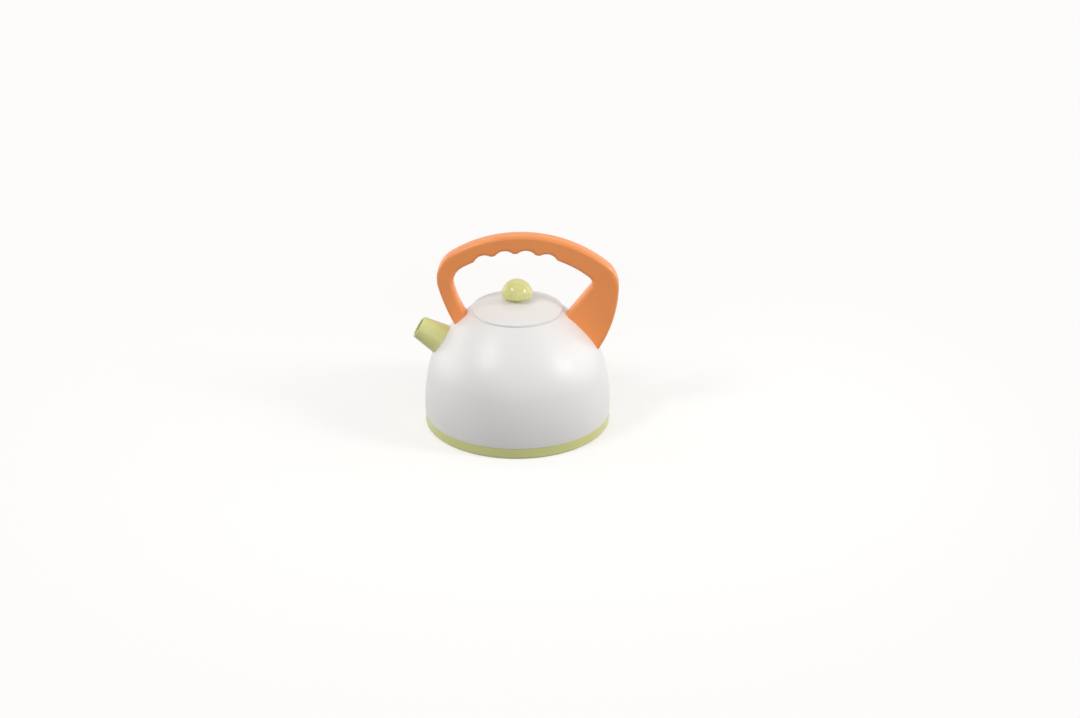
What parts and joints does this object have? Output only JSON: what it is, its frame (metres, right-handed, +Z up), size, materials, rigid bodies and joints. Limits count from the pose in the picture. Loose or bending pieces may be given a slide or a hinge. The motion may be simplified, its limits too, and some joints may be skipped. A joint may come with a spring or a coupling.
{
  "type": "toy kettle",
  "caption": "Toy stovetop kettle: white domed body on a green base, green spout, orange handle with finger grooves, push-fit lid with a green ball knob.",
  "frame": {"origin": "middle of the base, on the surface that the kettle stands on", "axes": "+Z up; the spout points towards -X; the handle lies in the XZ plane with its heavy leg on +X"},
  "size_m": [0.163, 0.149, 0.159],
  "materials": {
    "white_plastic": "gloss",
    "green_plastic": "gloss",
    "orange_plastic": "gloss"
  },
  "bodies": {
    "kettle": {"body": "white_plastic", "base": "green_plastic", "spout": "green_plastic", "handle": "orange_plastic"},
    "lid": {"lid": "white_plastic", "lid_knob": "green_plastic"}
  },
  "joints": [
    {"name": "lid_lift", "type": "slide", "parent": "kettle", "child": "lid", "axis": [0, 0, 1], "range_m": [0, 0.02]}
  ]
}
